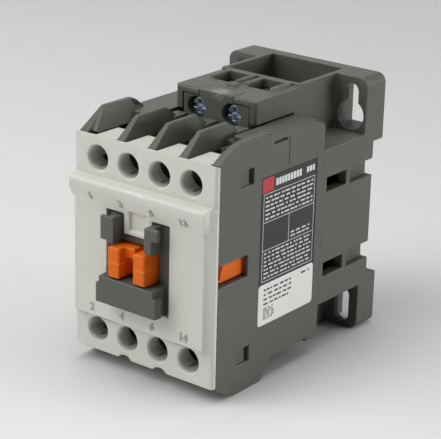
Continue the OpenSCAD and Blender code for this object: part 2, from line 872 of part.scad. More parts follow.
module coil_terminals() {
  color(brass) place() for (x = screw_x) {
    difference() {
      union() {
        box(x - 3.1, x + 3.1, y_nut, y_nut + 1.2, nut_z, coil_z1 - 0.2);
        box(x - 3.1, x + 3.1, y_nut, y_bob - seat, nut_z, nut_z + 0.6);
        box(x - 3.1, x + 3.1, y_bob - 0.65, y_bob - seat, nut_z, coil_z1 - 0.2);
      }
      ycyl(x, z_coil, y_nut - 1, y_bob - 0.7, screw_r + 0.3);
    }
  }
}

module return_springs() {
  color(iron) place() for (s = [-1, 1]) {
    translate([0, y_bob - 0.05, z_mid + s * spring_z]) rotate([90, 0, 0])
      spring(spring_r, 0.3, 6, y_bob - y_flange - seat);
  }
}

// Rail clip
module rail_clip() {
  color(dark) place() difference() {
    union() {
      box(-jaw_w, jaw_w, rail_y + 0.6, y_rear - 0.8, clip_travel + 0.1, rail_z0 - 0.6);
      box(-jaw_w, jaw_w, rail_y + 1.6, y_rear - 0.8, clip_travel + 0.1, rail_z0 + 2.5);
    }
    box(-2.4, 2.4, rail_y, y_rear, ledge_z - 0.3, rail_z0 - 2.6);
    along_y(rail_y, y_rear) both_sides_2d() slot2d(jaw_w - 2.1, clip_travel + 3, clip_travel + 5, 1.6);
  }
}

module rail_clip_spring() {
  z = ledge_z + 1.05;
  color(iron) place() translate([0, rail_y + 2.1, z]) spring(1.15, 0.22, 5, rail_z0 - 2.65 - z);
}

// Screws and clamps
module drive_recess() {
  for (a = [0, 90]) {
    rotate([0, 0, a]) translate([-1.6, -0.4, -1]) cube([3.2, 0.8, 2.2]);
  }
  translate([-3, -0.45, -1]) cube([6, 0.9, 1.8]);
}

module screw(x, z, y, len) {
  translate([x, y, z]) rotate([-90, 0, 0]) {
    difference() {
      union() {
        translate([0, 0, 0.5]) cylinder(h = head_t - 0.5, r = head_r);
        cylinder(h = 0.5, r1 = head_r - 0.5, r2 = head_r);
      }
      drive_recess();
    }
    translate([0, 0, head_t - 0.1]) cylinder(h = len - head_t + 0.1, r = screw_r);
  }
}

module main_screw(i) {
  screw((i - 1.5) * pole, z_well, head_y, y_back - head_y - 0.6);
}

module main_washer(i) {
  h = washer_w / 2;
  translate([(i - 1.5) * pole, 0, 0]) difference() {
    box(-h, h, y_washer, y_washer + washer_t, z_well - h, z_well + h);
    ycyl(0, z_well, y_washer - 1, y_washer + washer_t + 1, screw_r + 0.35);
  }
}

module line_screw(i) {
  color(zinc) place() main_screw(i);
}

module load_screw(i) {
  color(zinc) place() flip_z() main_screw(i);
}

module line_washer(i) {
  color(zinc) place() main_washer(i);
}

module load_washer(i) {
  color(zinc) place() flip_z() main_washer(i);
}

module coil_screw(i) {
  color(zinc) place() screw(screw_x[i], z_coil, y_box + 1.5, y_clamp + 0.1 - y_box - 1.5);
}

module coil_clamp(i) {
  x = screw_x[i];
  color(zinc) place() difference() {
    box(x - 2.8, x + 2.8, y_clamp, y_clamp + 1.2, nut_z + 1.2, coil_z1 - 0.3);
    ycyl(x, z_coil, y_clamp - 1, y_clamp + 0.4, screw_r + 0.35);
  }
}

front_cover();
main_frame();
base_frame();
rating_label();
line_terminals();
load_terminals();
fixed_tips();
coil_bobbin();
coil_winding();
coil_terminals();
fixed_core();
shading_rings();
core_cushion();
contact_carrier();
armature();
armature_key();
moving_bridges();
moving_tips();
contact_springs();
return_springs();
rail_clip();
rail_clip_spring();
line_screw(0);  // line_screw_1
line_screw(1);  // line_screw_2
line_screw(2);  // line_screw_3
line_screw(3);  // line_screw_4
load_screw(0);  // load_screw_1
load_screw(1);  // load_screw_2
load_screw(2);  // load_screw_3
load_screw(3);  // load_screw_4
line_washer(0);  // line_washer_1
line_washer(1);  // line_washer_2
line_washer(2);  // line_washer_3
line_washer(3);  // line_washer_4
load_washer(0);  // load_washer_1
load_washer(1);  // load_washer_2
load_washer(2);  // load_washer_3
load_washer(3);  // load_washer_4
coil_screw(0);  // coil_screw_1
coil_screw(1);  // coil_screw_2
coil_clamp(0);  // coil_clamp_1
coil_clamp(1);  // coil_clamp_2
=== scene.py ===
# %% [markdown]
# # A small contactor
#
# A contactor is a heavy relay: a coil pulls an iron core, the core drags an orange carrier, and the
# carrier closes four pairs of contacts. The housing is moulded in two colours. This lesson takes the
# solid model as it was measured and gives it rounded edges, moulded surfaces, prints and light.

import json
import math
import random

import bmesh
import bpy
from mathutils import Matrix, Vector
from mathutils.bvhtree import BVHTree
from mathutils.geometry import intersect_point_line

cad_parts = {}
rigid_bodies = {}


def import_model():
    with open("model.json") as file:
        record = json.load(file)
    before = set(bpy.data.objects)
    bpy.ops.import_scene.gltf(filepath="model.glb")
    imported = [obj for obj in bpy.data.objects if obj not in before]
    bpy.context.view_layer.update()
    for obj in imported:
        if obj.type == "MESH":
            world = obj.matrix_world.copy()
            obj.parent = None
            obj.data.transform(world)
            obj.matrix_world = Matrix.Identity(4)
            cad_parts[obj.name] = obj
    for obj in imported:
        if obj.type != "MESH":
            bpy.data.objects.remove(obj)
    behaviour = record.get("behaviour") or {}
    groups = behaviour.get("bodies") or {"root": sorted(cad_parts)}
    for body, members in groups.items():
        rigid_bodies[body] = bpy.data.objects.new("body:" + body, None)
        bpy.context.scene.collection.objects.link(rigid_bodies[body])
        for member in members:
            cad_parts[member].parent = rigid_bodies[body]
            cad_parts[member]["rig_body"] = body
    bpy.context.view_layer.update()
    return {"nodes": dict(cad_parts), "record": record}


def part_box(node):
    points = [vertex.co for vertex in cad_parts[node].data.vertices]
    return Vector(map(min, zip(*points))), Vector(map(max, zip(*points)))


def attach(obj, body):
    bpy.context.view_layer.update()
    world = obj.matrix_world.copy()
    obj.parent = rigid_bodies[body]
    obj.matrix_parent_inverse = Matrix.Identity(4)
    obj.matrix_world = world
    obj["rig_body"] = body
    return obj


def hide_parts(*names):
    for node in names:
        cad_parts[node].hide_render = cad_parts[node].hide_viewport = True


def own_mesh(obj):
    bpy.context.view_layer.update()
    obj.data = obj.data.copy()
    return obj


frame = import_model()
MM = 0.001
# The cover's front plane is 31.75 mm in front of the middle of the depth.
COVER_Y = -31.75


# %% [markdown]
# ## The camera
#
# The photograph was taken from the front right, a little above, with a long lens. The distance, the
# height and a slight tilt of the camera were found by matching known corners of the solid model to
# their places in the picture, so the camera is written here as a position and three axes.

# %% Camera
AZIMUTH, ELEVATION, ROLL = map(math.radians, (37.844, 19.892, 1.436))
EYE = Vector((252.909, -326.786, 183.817)) * MM
FOCAL_PIXELS, PHOTO_WIDTH, SENSOR = 1712.08, 441, 36.0

back = Vector((
    math.sin(AZIMUTH) * math.cos(ELEVATION),
    -math.cos(AZIMUTH) * math.cos(ELEVATION),
    math.sin(ELEVATION),
))
level = Vector((math.cos(AZIMUTH), math.sin(AZIMUTH), 0))
upright = back.cross(level)
right = level * math.cos(ROLL) + upright * math.sin(ROLL)
up = upright * math.cos(ROLL) - level * math.sin(ROLL)

camera_data = bpy.data.cameras.new("camera")
camera_data.sensor_width = SENSOR
camera_data.lens = FOCAL_PIXELS / PHOTO_WIDTH * SENSOR
camera_data.clip_start, camera_data.clip_end = 0.01, 20
camera = bpy.data.objects.new("camera", camera_data)
camera.matrix_world = Matrix.Translation(EYE) @ Matrix((right, up, back)).transposed().to_4x4()
bpy.context.scene.collection.objects.link(camera)
bpy.context.scene.camera = camera
print("lens in mm:", round(camera_data.lens, 1))


# %% [markdown]
# ## Materials
#
# Every finish is built from nodes. A few helpers keep that short: one turns a web colour into the linear
# values that Blender wants, and one adds a node with its settings and its links. A third makes a colour
# darker or lighter, because no real surface has one tone all over.

# %% Material helpers
def linear(code):
    """A web colour such as C9CAC2 as linear red, green, blue and alpha."""
    parts = [int(code[i : i + 2], 16) / 255 for i in (0, 2, 4)]
    return [c / 12.92 if c <= 0.04045 else ((c + 0.055) / 1.055) ** 2.4 for c in parts] + [1]


def shade(colour, factor):
    """A web colour made darker or lighter by a factor, as linear values."""
    return [min(1, c * factor) for c in linear(colour)[:3]] + [1]


def add(tree, kind, links=None, inputs=None, **settings):
    """Adds a node. links maps an input to another node's output, inputs maps one to a value."""
    node = tree.nodes.new(kind)
    for name, value in settings.items():
        setattr(node, name, value)
    for name, value in (inputs or {}).items():
        node.inputs[name].default_value = value
    for name, output in (links or {}).items():
        tree.links.new(output, node.inputs[name])
    return node


def new_material(name):
    """An empty material, its node tree and its Principled shader."""
    material = bpy.data.materials.new(name)
    material.use_nodes = True
    tree = material.node_tree
    return material, tree, tree.nodes["Principled BSDF"]


# %% [markdown]
# The three plastics are injection moulded. Their moulds were spark eroded, which leaves a fine even
# grain of about a tenth of a millimetre. The grain breaks up the highlights, so the surface looks matt.
# It is too fine for the picture, so it is drawn about four times as coarse. A slow mottle in the colour
# stands for the flow of the plastic. The rounded edges are painted paler here and there, partly as rubbing
# from handling and partly as a painted highlight along each edge: they carry an attribute that says where
# they are, and a noise breaks the pale line up. A few faint scuffs lie on the flat faces, and the top of
# the coil box has one spot that is rubbed pale.

# %% Moulded plastics
GRAIN_MM = 0.45
MOTTLE_MM = 14
# Size of the break-up in the pale edges, which are part rubbing and part painted highlight.
SHEEN_AND_RUB_MM = 2.5
SCUFF_MM = 3.5
SPOT_CORE_MM, SPOT_EDGE_MM, SPOT_GREY = 1, 3, "BDBEB9"
COIL_SPOT = (0.3, -2.6, 69)


def moulded_plastic(name, colour, roughness, grain_height, mottle, edge_sheen_and_wear, specular=0.5, spot=None):
    """Matt plastic. The grain's height and the rubbed spot are in mm. Mottle and the paleness of edges and
    scuffs go from 0 to 1; the pale edges are part handling marks and part painted highlight.
    """
    material, tree, shader = new_material(name)
    place = add(tree, "ShaderNodeTexCoord").outputs["Object"]
    pale = [min(0.8, 1.5 * c + 0.04) for c in linear(colour)[:3]] + [1]
    grain = add(tree, "ShaderNodeTexNoise", {"Vector": place},
                {"Scale": 1 / (GRAIN_MM * MM), "Detail": 3, "Roughness": 0.6}).outputs["Fac"]
    flow = add(tree, "ShaderNodeTexNoise", {"Vector": place},
               {"Scale": 1 / (MOTTLE_MM * MM), "Detail": 4, "Roughness": 0.55}).outputs["Fac"]
    tint = add(tree, "ShaderNodeMix", {"Factor": flow},
               {"A": shade(colour, 1 - mottle), "B": shade(colour, 1 + mottle)}, data_type="RGBA")

    # Pale rounded edges: part rubbing from handling, part a painted highlight along each edge.
    edge = add(tree, "ShaderNodeAttribute", attribute_name="edge_sheen_and_rub").outputs["Fac"]
    sheen_and_rub = add(tree, "ShaderNodeTexNoise", {"Vector": place},
              {"Scale": 1 / (SHEEN_AND_RUB_MM * MM), "Detail": 3}).outputs["Fac"]
    sheen_and_rub = add(tree, "ShaderNodeMapRange", {"Value": sheen_and_rub},
              {"From Min": 0.4, "From Max": 0.7, "To Max": edge_sheen_and_wear}).outputs["Result"]
    sheen_and_wear = add(tree, "ShaderNodeMath", {0: edge, 1: sheen_and_rub}, operation="MULTIPLY").outputs["Value"]
    along = add(tree, "ShaderNodeMapping", {"Vector": place}, {"Scale": (1, 1, 0.3), "Rotation": (0.5, 0, 0)})
    scuff = add(tree, "ShaderNodeTexNoise", {"Vector": along.outputs["Vector"]},
                {"Scale": 1 / (SCUFF_MM * MM), "Detail": 6, "Roughness": 0.7}).outputs["Fac"]
    scuff = add(tree, "ShaderNodeMapRange", {"Value": scuff},
                {"From Min": 0.7, "From Max": 0.78, "To Max": 0.5 * edge_sheen_and_wear}).outputs["Result"]
    sheen_and_wear = add(tree, "ShaderNodeMath", {0: sheen_and_wear, 1: scuff}, operation="MAXIMUM").outputs["Value"]
    if spot:
        away = add(tree, "ShaderNodeVectorMath", {0: place}, {1: Vector(spot) * MM}, operation="DISTANCE")
        near = add(tree, "ShaderNodeMapRange", {"Value": away.outputs["Value"]},
                   {"From Min": SPOT_CORE_MM * MM, "From Max": SPOT_EDGE_MM * MM,
                    "To Min": 1, "To Max": 0}).outputs["Result"]
        specks = add(tree, "ShaderNodeMapRange", {"Value": grain},
                     {"From Min": 0.42, "From Max": 0.62, "To Max": 0.75}).outputs["Result"]
        rubbed = add(tree, "ShaderNodeMath", {0: near, 1: specks}, operation="MULTIPLY").outputs["Value"]
        tint = add(tree, "ShaderNodeMix", {"Factor": rubbed, "A": tint.outputs["Result"]},
                   {"B": linear(SPOT_GREY)}, data_type="RGBA")

    finish = add(tree, "ShaderNodeMix", {"Factor": sheen_and_wear, "A": tint.outputs["Result"]}, {"B": pale},
                 data_type="RGBA")
    shine = add(tree, "ShaderNodeMapRange", {"Value": grain},
                {"To Min": roughness - 0.07, "To Max": roughness + 0.07})
    bump = add(tree, "ShaderNodeBump", {"Height": grain}, {"Strength": 0.35, "Distance": grain_height * MM})
    tree.links.new(finish.outputs["Result"], shader.inputs["Base Color"])
    tree.links.new(shine.outputs["Result"], shader.inputs["Roughness"])
    tree.links.new(bump.outputs["Normal"], shader.inputs["Normal"])
    shader.inputs["IOR"].default_value = 1.5
    shader.inputs["Specular IOR Level"].default_value = specular
    return material


# A pale, even, matt face with a soft highlight along each edge.
cover_grey = moulded_plastic("light grey polycarbonate, spark eroded mould", "D2D3CA",
                             roughness=0.5, grain_height=0.03, mottle=0.03, edge_sheen_and_wear=0.5)
# A dark face with a slight sheen, a cloudy tone and edges painted grey, part rubbing and part painted
# highlight.
frame_grey = moulded_plastic("dark grey glass filled nylon, spark eroded mould", "52544D",
                             roughness=0.48, grain_height=0.05, mottle=0.06, edge_sheen_and_wear=0.45, spot=COIL_SPOT)
# A strong colour that keeps its depth, because little of the light is reflected white.
carrier_orange = moulded_plastic("orange polyamide, satin mould", "E2680F",
                                 roughness=0.42, grain_height=0.02, mottle=0.04, edge_sheen_and_wear=0.3, specular=0.2)
print("plastics:", cover_grey.name, frame_grey.name, carrier_orange.name, sep="\n  ")


# %% [markdown]
# Most of the metal lies behind walls or deep in holes. Washers, clamps and coil screws are steel with a
# blue zinc plate, and the terminal screws have a dull clear one. Terminals are stamped brass, the bridges
# and shading rings are copper, the tips are a silver alloy and the two iron cores are stacks of thin sheet,
# which shows as fine lines across their edges. One function makes them all from a noise that is stretched
# the way that the metal was worked.

# %% Metals
# Even marks are specks. A small number draws them out in X, Y or Z: strips run along Z, sheets in X and Y.
EVEN, ALONG_STRIP, ALONG_SHEETS = (1, 1, 1), (1, 1, 0.2), (0.1, 0.1, 1)


def worked_metal(name, colour, roughness, scratch_mm, stretch=EVEN):
    """Bare or plated metal with fine marks, whose spacing is in mm."""
    material, tree, shader = new_material(name)
    place = add(tree, "ShaderNodeTexCoord").outputs["Object"]
    along = add(tree, "ShaderNodeMapping", {"Vector": place}, {"Scale": stretch})
    marks = add(tree, "ShaderNodeTexNoise", {"Vector": along.outputs["Vector"]},
                {"Scale": 1 / (scratch_mm * MM), "Detail": 4}).outputs["Fac"]
    tint = add(tree, "ShaderNodeMix", {"Factor": marks},
               {"A": shade(colour, 0.8), "B": shade(colour, 1.15)}, data_type="RGBA")
    shine = add(tree, "ShaderNodeMapRange", {"Value": marks},
                {"To Min": roughness - 0.1, "To Max": roughness + 0.12})
    bump = add(tree, "ShaderNodeBump", {"Height": marks}, {"Strength": 0.2, "Distance": 0.02 * MM})
    tree.links.new(tint.outputs["Result"], shader.inputs["Base Color"])
    tree.links.new(shine.outputs["Result"], shader.inputs["Roughness"])
    tree.links.new(bump.outputs["Normal"], shader.inputs["Normal"])
    shader.inputs["Metallic"].default_value = 1
    return material


# Cool and bright, with small sharp glints.
blue_zinc = worked_metal("blue zinc plated steel", "A3AEBD", roughness=0.28, scratch_mm=0.5)
# Wide and soft glints, so a screw head still shows at the bottom of its well.
dull_zinc = worked_metal("clear zinc plated steel, dull", "D6D9DC", roughness=0.5, scratch_mm=0.5)
# Warm metals with fine lines along the strip that they were cut from.
stamped_brass = worked_metal("stamped brass", "D8B56A", roughness=0.32, scratch_mm=0.8, stretch=ALONG_STRIP)
rolled_copper = worked_metal("rolled copper", "C9805A", roughness=0.3, scratch_mm=0.7, stretch=ALONG_STRIP)
# Pale and soft, with a fine speckle from the press.
silver_alloy = worked_metal("pressed silver alloy", "DAD9D2", roughness=0.35, scratch_mm=0.4)
# Grey, with fine lines where the sheets meet.
sheet_stack = worked_metal("stacked core sheet", "85878B",
                           roughness=0.4, scratch_mm=0.5, stretch=ALONG_SHEETS)
# Smooth, with a narrow highlight that follows the wire.
spring_wire = worked_metal("drawn spring wire", "A9ABAF", roughness=0.25, scratch_mm=0.3)
metals = (blue_zinc, dull_zinc, stamped_brass, rolled_copper, silver_alloy, sheet_stack, spring_wire)
print("metals:", *[m.name for m in metals], sep="\n  ")


# %% [markdown]
# Two more finishes complete the inside: moulded rubber under the fixed core, and the coil's enamelled
# wire, whose turns run round the bobbin and show as fine ribs about a third of a millimetre apart.

# %% Rubber and coil wire
# Black and dull, with only a broad faint highlight.
moulded_rubber = moulded_plastic("black moulded rubber", "1C1C1D",
                                 roughness=0.75, grain_height=0.04, mottle=0.1, edge_sheen_and_wear=0.1)


def enamelled_turns(name, colour, wire_mm):
    """Wire wound side by side along Y, one wave of the pattern for each turn."""
    material, tree, shader = new_material(name)
    place = add(tree, "ShaderNodeTexCoord").outputs["Object"]
    waves_per_unit = 20 / (2 * math.pi)
    turns = add(tree, "ShaderNodeTexWave", {"Vector": place},
                {"Scale": 1 / (waves_per_unit * wire_mm * MM), "Distortion": 0.4},
                bands_direction="Y").outputs["Fac"]
    # The gaps between the turns are painted darker: painted shade.
    tint = add(tree, "ShaderNodeMix", {"Factor": turns},
               {"A": shade(colour, 0.35), "B": linear(colour)}, data_type="RGBA")
    bump = add(tree, "ShaderNodeBump", {"Height": turns}, {"Distance": wire_mm / 2 * MM})
    tree.links.new(tint.outputs["Result"], shader.inputs["Base Color"])
    tree.links.new(bump.outputs["Normal"], shader.inputs["Normal"])
    shader.inputs["Metallic"].default_value = 0.7
    shader.inputs["Roughness"].default_value = 0.3
    return material


# Glossy brown ribs, with painted shade in the gaps between the turns.
coil_wire = enamelled_turns("enamelled copper wire, wound", "B8713C", wire_mm=0.35)
print("inside:", moulded_rubber.name, coil_wire.name, sep="\n  ")


# %% [markdown]
# ## Rounded mouldings
#
# The solid model has sharp edges. A real mould has a small radius on each one, and it is this radius that
# draws the thin bright lines along the edges in the photograph. The mouldings are therefore copies of the
# solids: the loose triangles are merged, flat triangles are dissolved back into whole faces, and each
# sharp edge gets a bevel. A bevel that is wider than the step it sits on folds over. So the bevel is tried,
# each new face is compared with the solid's surface, and the edges beside a folded face are left sharp.

# %% Merge and measure
SHARP, FLAT = math.radians(28), math.radians(0.6)
WELD_MM = 0.002
# A new face has folded over when it lies further from the solid than this share of the radius, or when the
# cosine of its turn away from the solid's face is below the second number. Smaller slivers don't count.
FOLD_GAP, FOLD_TURN, SMALLEST_AREA = 0.5, 0.2, 1e-10


def merged_copy(name):
    """The node's triangles joined up, with flat areas made whole faces again."""
    bm = bmesh.new()
    bm.from_mesh(frame["nodes"][name].data)
    bmesh.ops.remove_doubles(bm, verts=bm.verts, dist=WELD_MM * MM)
    bmesh.ops.dissolve_limit(bm, angle_limit=FLAT, verts=bm.verts, edges=bm.edges)
    bm.edges.index_update()
    return bm


def distance_to_edge(point, ends):
    """How far a point lies from a straight edge between two ends."""
    near, along = intersect_point_line(point, *ends)
    return (point - (ends[0] if along < 0 else ends[1] if along > 1 else near)).length


def try_bevel(solid, picked, radius, segments):
    """Bevels the picked edges of a copy, and lists the middles of faces that folded over."""
    bm = solid.copy()
    # This mark also tells the plastics where to paint the edges paler: part rubbing, part painted highlight.
    sheen_and_rub = bm.faces.layers.float.new("edge_sheen_and_rub")
    bm.edges.ensure_lookup_table()
    edges = [bm.edges[i] for i in picked]
    bmesh.ops.triangulate(bm, faces=[f for f in bm.faces if len(f.verts) > 4])
    strips = bmesh.ops.bevel(
        bm, geom=edges, offset=radius, offset_type="OFFSET", segments=segments, profile=0.5,
        affect="EDGES", clamp_overlap=False, loop_slide=False, material=-1,
    )["faces"]
    for face in strips:
        face[sheen_and_rub] = 1
    bm.normal_update()
    surface = BVHTree.FromBMesh(solid)
    folded = []
    for face in bm.faces:
        middle = face.calc_center_median()
        _, normal, _, gap = surface.find_nearest(middle)
        turned = face.normal.dot(normal) < FOLD_TURN
        if face.calc_area() > SMALLEST_AREA and (gap > FOLD_GAP * radius or turned):
            folded.append(middle)
    return bm, folded


# %% Rounding helper
# An edge that turns further than a crease is shaded sharp. On a rounding the limit is wider.
CREASE, SOFT_TURN = math.radians(25), math.radians(55)
# An edge is left sharp when a folded face lies within this many radii of it.
TRIES, TIGHT = 8, 1.6


def rounded_copy(name, radius_mm, segments, material):
    """A copy of a CAD node with rounded edges, riding where the node rides."""
    radius = radius_mm * MM
    solid = merged_copy(name)
    ends = {e.index: [v.co.copy() for v in e.verts] for e in solid.edges if e.calc_face_angle(0) > SHARP}
    picked = set(ends)
    for _ in range(TRIES):
        bm, folded = try_bevel(solid, sorted(picked), radius, segments)
        tight = {i for i in picked for p in folded if distance_to_edge(p, ends[i]) < TIGHT * radius}
        if not tight:
            break
        picked -= tight
    rounding = bm.faces.layers.float["edge_sheen_and_rub"]
    for face in bm.faces:
        face.smooth = True
    for edge in bm.edges:
        on_rounding = any(face[rounding] > 0.5 for face in edge.link_faces)
        edge.smooth = edge.calc_face_angle(0) < (SOFT_TURN if on_rounding else CREASE)
    mesh = bpy.data.meshes.new(name + "_rounded")
    bm.to_mesh(mesh)
    mesh.materials.append(material)
    piece = bpy.data.objects.new(name + "_rounded", mesh)
    bpy.context.scene.collection.objects.link(piece)
    shading = piece.modifiers.new("even shading", "WEIGHTED_NORMAL")
    shading.keep_sharp = True
    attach(piece, frame["nodes"][name]["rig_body"])
    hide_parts(name)
    print(f"{name}: {len(picked)} of {len(ends)} sharp edges rounded, {len(mesh.polygons)} faces")
    return piece


# %% Housing and carrier
# Each line gives a radius in mm and the number of steps round it.
cover = rounded_copy("front_cover", 0.3, 2, cover_grey)
rounded_copy("main_frame", 0.25, 2, frame_grey)
rounded_copy("base_frame", 0.25, 2, frame_grey)
rounded_copy("coil_bobbin", 0.2, 2, frame_grey)
rounded_copy("rail_clip", 0.2, 2, frame_grey)
rounded_copy("contact_carrier", 0.45, 3, carrier_orange)


# %% [markdown]
# In the photograph the screwdriver wells are pale only at their rim, and their walls look a darker grey
# further in. So the walls of the wells are cut one millimetre behind the cover's face, and what lies deeper
# takes a darker finish of its own, a painted shade.

# %% Painted shade in the well walls
POLE_X, ROW_Z = (-14.7, -4.9, 4.9, 14.7), (55.25, 9.95)
WELLS = [(x, z) for x in POLE_X for z in ROW_Z]
WELL_RADIUS, RIM_DEPTH, WALL_LEAN, CUT_SLACK = 3.3, 1.0, 0.3, 0.0001


def in_a_well(point):
    """Whether a point lies over one of the eight wells, seen from the front."""
    return any(math.hypot(point.x / MM - x, point.z / MM - z) < WELL_RADIUS for x, z in WELLS)


bm = bmesh.new()
bm.from_mesh(cover.data)
walls = [f for f in bm.faces if in_a_well(f.calc_center_median()) and abs(f.normal.y) < WALL_LEAN]
cut_at = (COVER_Y + RIM_DEPTH) * MM
around = {e for f in walls for e in f.edges} | {v for f in walls for v in f.verts} | set(walls)
# The set is put back in the mesh's own order, so that every run cuts in the same order.
ordered = [item for item in (*bm.verts, *bm.edges, *bm.faces) if item in around]
bmesh.ops.bisect_plane(bm, geom=ordered, dist=CUT_SLACK * MM, plane_co=(0, cut_at, 0), plane_no=(0, 1, 0))
# The deeper faces take the darker grey, a painted shade.
dark = [f for f in bm.faces if in_a_well(f.calc_center_median()) and f.calc_center_median().y > cut_at]
for face in dark:
    face.material_index = 1
bm.to_mesh(cover.data)
bm.free()
# Painted shade: a darker grey than the cover and as matt, so that the depth of a well can be read.
well_shade_grey = moulded_plastic("light grey polycarbonate, well wall", "B9BAB3",
                            roughness=0.5, grain_height=0.03, mottle=0.08, edge_sheen_and_wear=0.3)
cover.data.materials.append(well_shade_grey)
print("dark faces in the wells:", len(dark))


# %% [markdown]
# The screws are turned and then punched, so their heads have a soft rim and a crisp cross. A bevel of a
# tenth of a millimetre gives the rim, and the zinc plate does the rest. The terminal screws sit deep in
# their wells, where a dull plate shows better than a bright one.

# %% Screws
screw_names = [f"{row}_screw_{i}" for row in ("line", "load") for i in (1, 2, 3, 4)]
for name in screw_names:
    rounded_copy(name, 0.12, 2, dull_zinc)
for name in ("coil_screw_1", "coil_screw_2"):
    rounded_copy(name, 0.12, 2, blue_zinc)


# %% [markdown]
# ## Springs
#
# A spring is a round wire wound on a rod. A small disc of wire is spun round the spring's middle and moved
# along it at each step, much as a winding machine does it.

# %% Spring helper
STEPS_PER_TURN, WIRE_SIDES = 24, 10


def wound_spring(bm, foot, along, radius, wire, turns, length):
    """Winds one spring into bm from its foot, all sizes in mm."""
    steps = STEPS_PER_TURN * turns
    coil = bmesh.new()
    disc = bmesh.ops.create_circle(coil, cap_ends=True, segments=WIRE_SIDES, radius=wire * MM)["verts"]
    bmesh.ops.rotate(coil, verts=disc, cent=(0, 0, 0), matrix=Matrix.Rotation(math.pi / 2, 3, "X"))
    bmesh.ops.translate(coil, verts=disc, vec=(radius * MM, 0, wire * MM))
    bmesh.ops.spin(
        coil, geom=coil.verts[:] + coil.edges[:] + coil.faces[:], cent=(0, 0, 0), axis=(0, 0, 1),
        angle=2 * math.pi * turns, steps=steps, dvec=(0, 0, (length - 2 * wire) / steps * MM),
    )
    bmesh.ops.recalc_face_normals(coil, faces=coil.faces)
    turn = Vector((0, 0, 1)).rotation_difference(Vector(along)).to_matrix().to_4x4()
    coil.transform(Matrix.Translation(Vector(foot) * MM) @ turn)
    for face in coil.faces:
        face.smooth = True
    scratch = bpy.data.meshes.new("one spring")
    coil.to_mesh(scratch)
    bm.from_mesh(scratch)
    coil.free()
    bpy.data.meshes.remove(scratch)


def finished_piece(name, bm, body, slot, *materials):
    """Turns a bmesh into a piece that rides on a body and takes the given finishes. The slot is not used."""
    mesh = bpy.data.meshes.new(name)
    bm.to_mesh(mesh)
    bm.free()
    for material in materials:
        mesh.materials.append(material)
    piece = bpy.data.objects.new(name, mesh)
    bpy.context.scene.collection.objects.link(piece)
    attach(piece, body)
    return piece


# %% Springs in their places
RETURN_SPRING = {"radius": 1.7, "wire": 0.3, "turns": 6}
CLIP_SPRING = {"radius": 1.15, "wire": 0.22, "turns": 5}
CONTACT_SPRING = {"radius": 1.7, "wire": 0.22, "turns": 3}


def node_box(name):
    """Lowest and highest corner of a CAD node, in mm."""
    return [Vector(corner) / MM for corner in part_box(name)]


low, high = node_box("return_springs")
bm = bmesh.new()
half_width = RETURN_SPRING["radius"] + RETURN_SPRING["wire"]
for z in (low.z + half_width, high.z - half_width):
    wound_spring(bm, (0, high.y, z), (0, -1, 0), length=high.y - low.y, **RETURN_SPRING)
piece = finished_piece("return_spring_pair", bm, "housing", "spring_steel", spring_wire)
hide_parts("return_springs")
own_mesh(piece)

low, high = node_box("rail_clip_spring")
bm = bmesh.new()
wound_spring(bm, (0, (low.y + high.y) / 2, low.z), (0, 0, 1), length=high.z - low.z, **CLIP_SPRING)
piece = finished_piece("rail_clip_spring_coil", bm, "housing", "spring_steel", spring_wire)
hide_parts("rail_clip_spring")
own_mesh(piece)

low, high = node_box("contact_springs")
bm = bmesh.new()
for x in POLE_X:
    foot = (x, high.y, (low.z + high.z) / 2)
    wound_spring(bm, foot, (0, -1, 0), length=high.y - low.y, **CONTACT_SPRING)
piece = finished_piece("contact_spring_row", bm, "carrier", "spring_steel", spring_wire)
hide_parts("contact_springs")
print("springs wound: two return springs, one clip spring and", len(POLE_X), "contact springs")


# %% [markdown]
# ## Finishes on the pieces that keep their solid shape
#
# Strips, washers, bridges and cores are plain stampings, so their solid shape is already right. They only
# need their metal.

# %% Metal nodes
finish_of_slot = {
    "terminal_brass": stamped_brass, "contact_silver": silver_alloy, "copper": rolled_copper,
    "core_steel": sheet_stack, "spring_steel": spring_wire, "zinc_steel": blue_zinc, "rubber": moulded_rubber,
}
slot_of_node = {part["node"]: part["material_slot"] for part in frame["record"]["subparts"]}
for name, node in frame["nodes"].items():
    finish = coil_wire if name == "coil_winding" else finish_of_slot.get(slot_of_node[name])
    if finish and not node.hide_render:
        node.data.materials.clear()
        node.data.materials.append(finish)
print("finished nodes:", sum(not n.hide_render for n in frame["nodes"].values()))


# %% [markdown]
# ## Raised numbers
#
# Each terminal has its number moulded into the cover, odd numbers on the line side and even ones on the
# load side. Text is typed as a curve and turned into a mesh. The lower row stands upright on the panel, and
# the upper row lies back on the slope below the ridge, so each row gets its own turn. Their grey is painted
# a little deeper than the cover's, as painted shade, because such relief reads as thin darker strokes in
# the photograph.

# %% Numbers on the cover
NUMBER_HEIGHT, NUMBER_RELIEF, NUMBER_BOLDER = 2.0, 0.2, 0.07
# A digit of the built-in font is about seven tenths of its size.
DIGIT_SHARE, DIGIT_WELD_MM = 0.7, 0.001
SLOPE_TURN = math.radians(25.7)
SLOPE_Y, SLOPE_Z, PANEL_Y, PANEL_Z = -2.7, 46.3, -2, 16.7
on_panel = Matrix.Rotation(math.radians(90), 4, "X")
on_slope = Matrix.Rotation(math.radians(90) + SLOPE_TURN, 4, "X")
numbers = [(x, SLOPE_Y, SLOPE_Z, on_slope, t) for x, t in zip(POLE_X, ("1", "3", "5", "13"))]
numbers += [(x, PANEL_Y, PANEL_Z, on_panel, t) for x, t in zip(POLE_X, ("2", "4", "6", "14"))]
